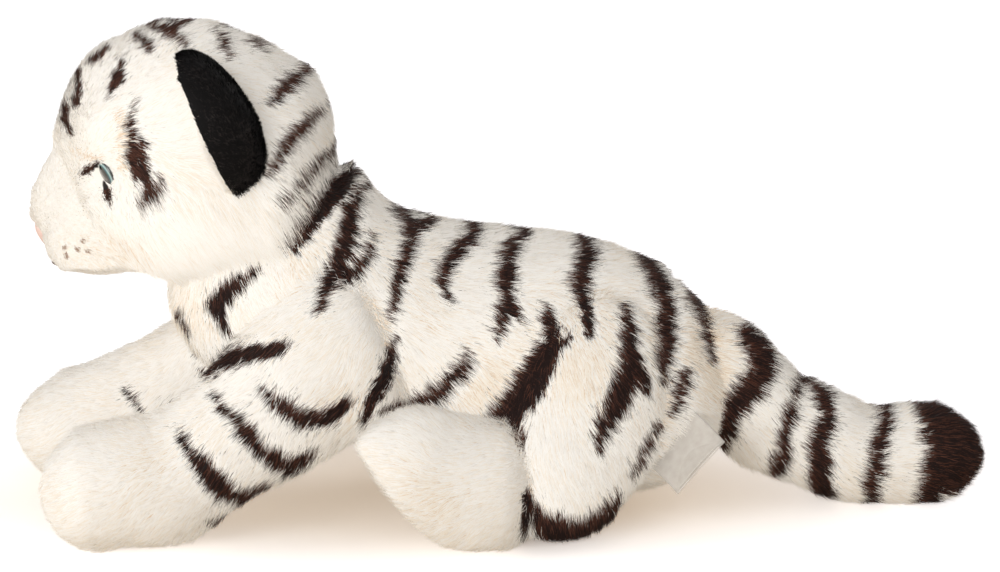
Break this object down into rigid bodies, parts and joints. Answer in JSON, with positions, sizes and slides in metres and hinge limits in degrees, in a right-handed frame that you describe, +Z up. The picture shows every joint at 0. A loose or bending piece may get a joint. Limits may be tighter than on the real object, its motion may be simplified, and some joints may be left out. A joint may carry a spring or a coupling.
{
  "type": "plush tiger cub",
  "caption": "Stuffed toy of a striped white tiger cub lying with its forelegs stretched out, its head up and its tail straight back.",
  "frame": {"origin": "centre of the box around the toy, on the floor it lies on", "axes": "+X from the face to the tip of the tail, +Y to the cub's right side, +Z up"},
  "size_m": [0.419, 0.1624, 0.2115],
  "materials": {
    "white_plush": "long pile, white with dark brown stripes",
    "black_plush": "short black pile",
    "pink_plush": "short pink pile",
    "eye_plastic": "clear gloss over a pale blue iris and a black pupil",
    "washer_plastic": "moulded, white",
    "tab_satin": "blank satin"
  },
  "bodies": {
    "body": {"torso": "white_plush", "thigh_left": "white_plush", "thigh_right": "white_plush", "tab_outer": "tab_satin", "tab_inner": "tab_satin"},
    "head": {"head": "white_plush", "muzzle": "white_plush", "chin": "white_plush", "nose": "pink_plush", "eye_left": "eye_plastic", "eye_right": "eye_plastic", "eye_washer_left": "washer_plastic", "eye_washer_right": "washer_plastic"},
    "left_ear": {"ear_back_left": "black_plush", "ear_front_left": "white_plush"},
    "right_ear": {"ear_back_right": "black_plush", "ear_front_right": "white_plush"},
    "left_foreleg": {"foreleg_left": "white_plush"},
    "right_foreleg": {"foreleg_right": "white_plush"},
    "left_hind_foot": {"hind_foot_left": "white_plush"},
    "right_hind_foot": {"hind_foot_right": "white_plush"},
    "tail": {"tail": "white_plush"}
  },
  "joints": [
    {"name": "head_turn", "type": "hinge", "parent": "body", "child": "head", "pos_m": [-0.10188, 0, 0.14], "axis": [0, 0, 1], "range_deg": [-15, 15], "stiffness_Nm_per_rad": 0.3},
    {"name": "left_ear_fold", "type": "hinge", "parent": "head", "child": "left_ear", "pos_m": [-0.11354, -0.04118, 0.1805], "axis": [-0.3718, 0.2761, 0.8863], "range_deg": [-15, 15], "stiffness_Nm_per_rad": 0.03},
    {"name": "right_ear_fold", "type": "hinge", "parent": "head", "child": "right_ear", "pos_m": [-0.10174, 0.0428, 0.1805], "axis": [-0.4335, -0.163, 0.8863], "range_deg": [-15, 15], "stiffness_Nm_per_rad": 0.03},
    {"name": "left_foreleg_lift", "type": "hinge", "parent": "body", "child": "left_foreleg", "pos_m": [-0.0575, -0.03604, 0.086], "axis": [0, 1, 0], "range_deg": [0, 20], "stiffness_Nm_per_rad": 1.5, "springref_deg": -17.19},
    {"name": "right_foreleg_lift", "type": "hinge", "parent": "body", "child": "right_foreleg", "pos_m": [-0.0575, 0.03604, 0.086], "axis": [0, 1, 0], "range_deg": [0, 20], "stiffness_Nm_per_rad": 1.5, "springref_deg": -17.19},
    {"name": "left_hind_foot_lift", "type": "hinge", "parent": "body", "child": "left_hind_foot", "pos_m": [0.02042, -0.059, 0.025], "axis": [0, 1, 0], "range_deg": [0, 12], "stiffness_Nm_per_rad": 0.8, "springref_deg": -11.46},
    {"name": "right_hind_foot_lift", "type": "hinge", "parent": "body", "child": "right_hind_foot", "pos_m": [0.02042, 0.059, 0.025], "axis": [0, 1, 0], "range_deg": [0, 12], "stiffness_Nm_per_rad": 0.8, "springref_deg": -11.46},
    {"name": "tail_lift", "type": "hinge", "parent": "body", "child": "tail", "pos_m": [0.07348, 0, 0.06], "axis": [0, -1, 0], "range_deg": [0, 20], "stiffness_Nm_per_rad": 0.3, "springref_deg": -17.19}
  ]
}
